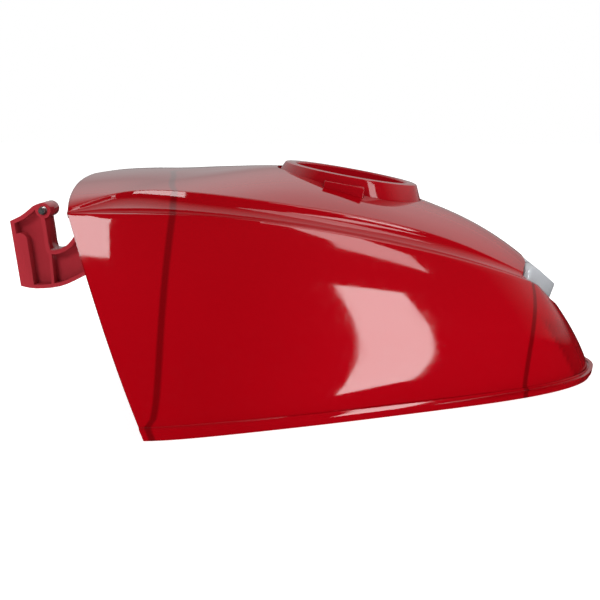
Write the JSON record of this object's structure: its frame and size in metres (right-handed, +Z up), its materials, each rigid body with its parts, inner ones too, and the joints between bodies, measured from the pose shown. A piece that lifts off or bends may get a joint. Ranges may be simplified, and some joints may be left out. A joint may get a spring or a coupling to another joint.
{
  "type": "vacuum cleaner lid",
  "caption": "Translucent red plastic lid of a canister vacuum cleaner with a tilted hose collar, a gooseneck hinge arm and a silver sprung latch.",
  "frame": {"origin": "middle of the lid's length and width, on the rim plane", "axes": "+X from the hinge arm to the nose, +Y across the lid, +Z up out of the deck"},
  "size_m": [0.3478, 0.2564, 0.1258],
  "materials": {
    "red_plastic": "translucent red, polished mould",
    "silver_plastic": "silver painted, satin gloss",
    "dark_plastic": "fine moulded texture",
    "seal_rubber": "soft matte",
    "steel": "zinc plated"
  },
  "bodies": {
    "lid": {"lid_shell": "red_plastic", "hose_collar": "red_plastic", "inlet_seal": "seal_rubber", "seal_retainer": "dark_plastic", "retainer_screws": "steel", "hinge_arm": "red_plastic", "arm_screws": "steel", "latch_pin": "steel", "latch_housing": "dark_plastic", "housing_screws": "steel"},
    "latch": {"latch_tongue": "silver_plastic", "latch_hook": "dark_plastic", "hook_screws": "steel", "latch_spring": "steel"},
    "hinge_pin": {"hinge_pin": "steel"}
  },
  "joints": [
    {"name": "latch_lift", "type": "hinge", "parent": "lid", "child": "latch", "pos_m": [0.12944, 0, 0.06295], "axis": [0, -1, 0], "range_deg": [0, 18], "stiffness_Nm_per_rad": 0.12, "springref_deg": -17.19},
    {"name": "lid_swing", "type": "hinge", "parent": "lid", "child": "hinge_pin", "pos_m": [-0.1541, 0, 0.0963], "axis": [0, 1, 0], "range_deg": [0, 80]}
  ]
}
